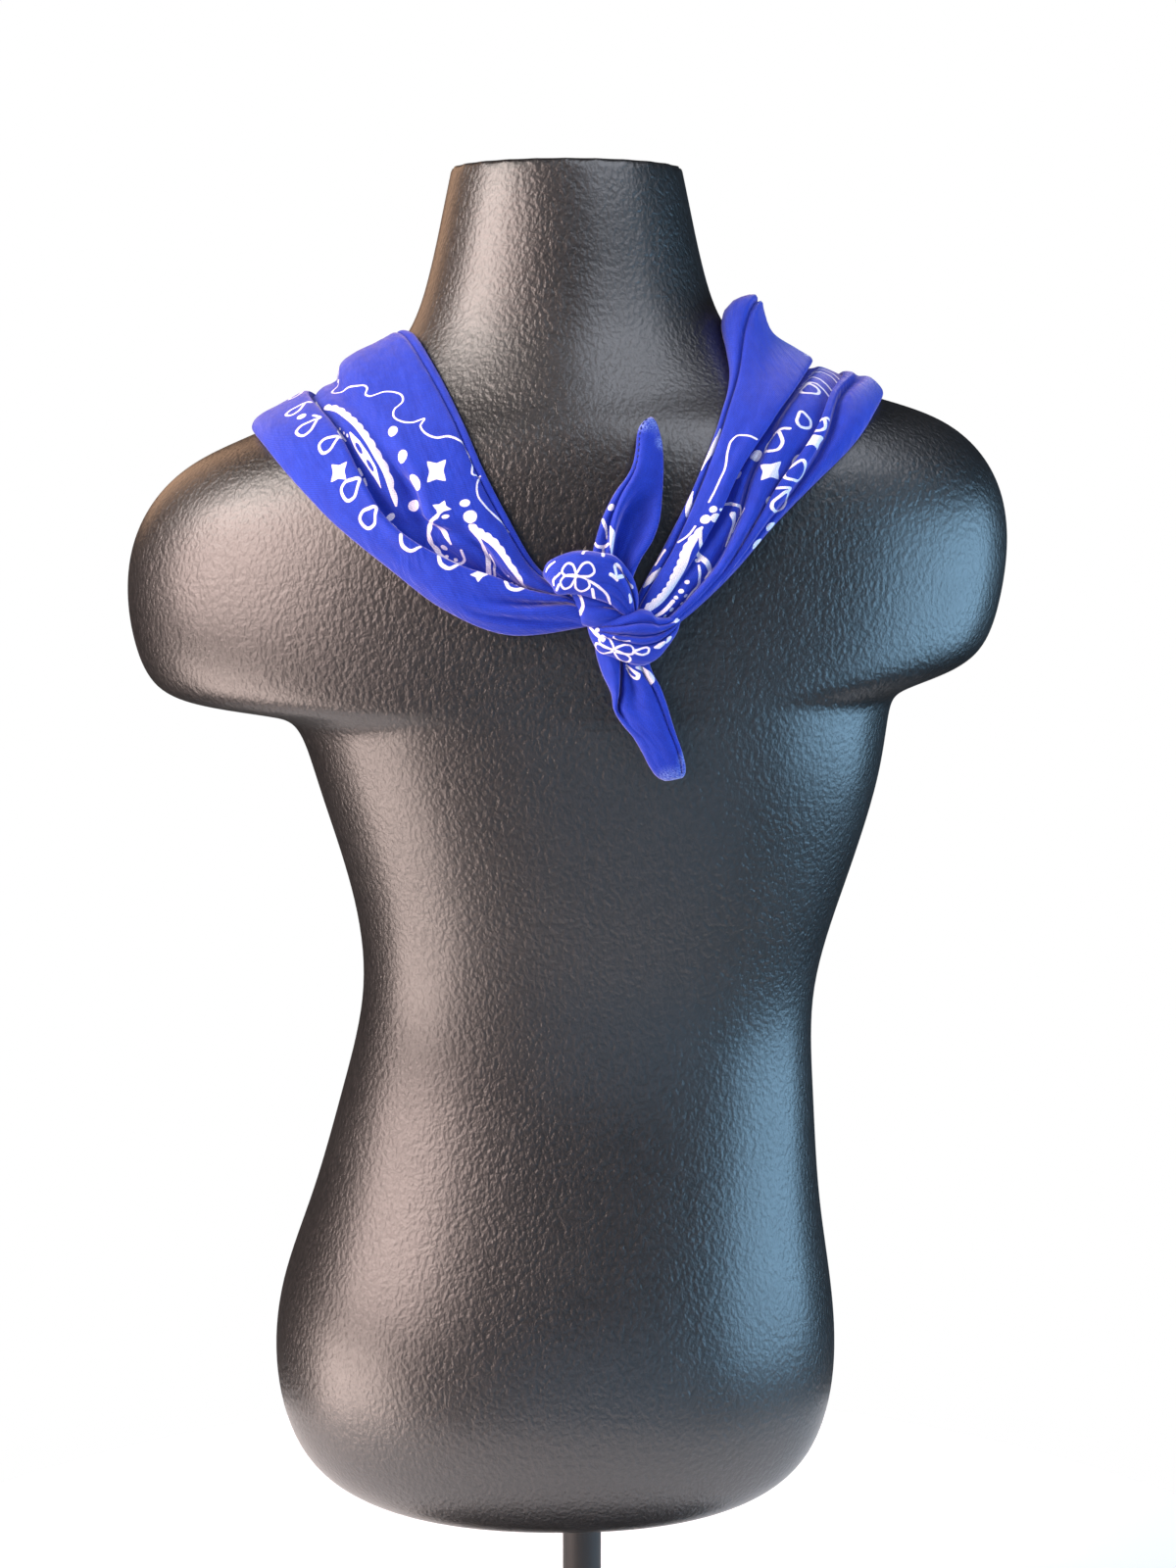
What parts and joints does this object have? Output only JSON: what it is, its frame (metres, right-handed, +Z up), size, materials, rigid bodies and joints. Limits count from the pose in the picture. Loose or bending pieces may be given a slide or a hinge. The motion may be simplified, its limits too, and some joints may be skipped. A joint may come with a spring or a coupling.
{
  "type": "bandana on a limbless dress form",
  "caption": "Square cloth folded into a band and tied in a square knot round the neck of a headless, armless, legless dress form on a low round stand.",
  "frame": {"origin": "on the surface the stand rests on, below the middle of the whole object's box", "axes": "+Z up, +Y towards the form's front, -Y towards the knot, +X to the right of someone who looks at the knot"},
  "size_m": [0.478, 0.3, 0.934],
  "materials": {
    "bandana_cloth": "fine woven cloth with a soft sheen, royal blue with off-white print",
    "form_skin": "black coarse-textured coat, half gloss",
    "stand_metal": "black powder coat, satin"
  },
  "bodies": {
    "root": {"band_left": "bandana_cloth", "band_front": "bandana_cloth", "band_right": "bandana_cloth", "knot_upper_wrap": "bandana_cloth", "knot_middle_wrap": "bandana_cloth", "knot_lower_wrap": "bandana_cloth", "tail_up": "bandana_cloth", "tail_down": "bandana_cloth", "dress_form": "form_skin", "stand_pole": "stand_metal", "stand_base": "stand_metal"}
  },
  "joints": []
}
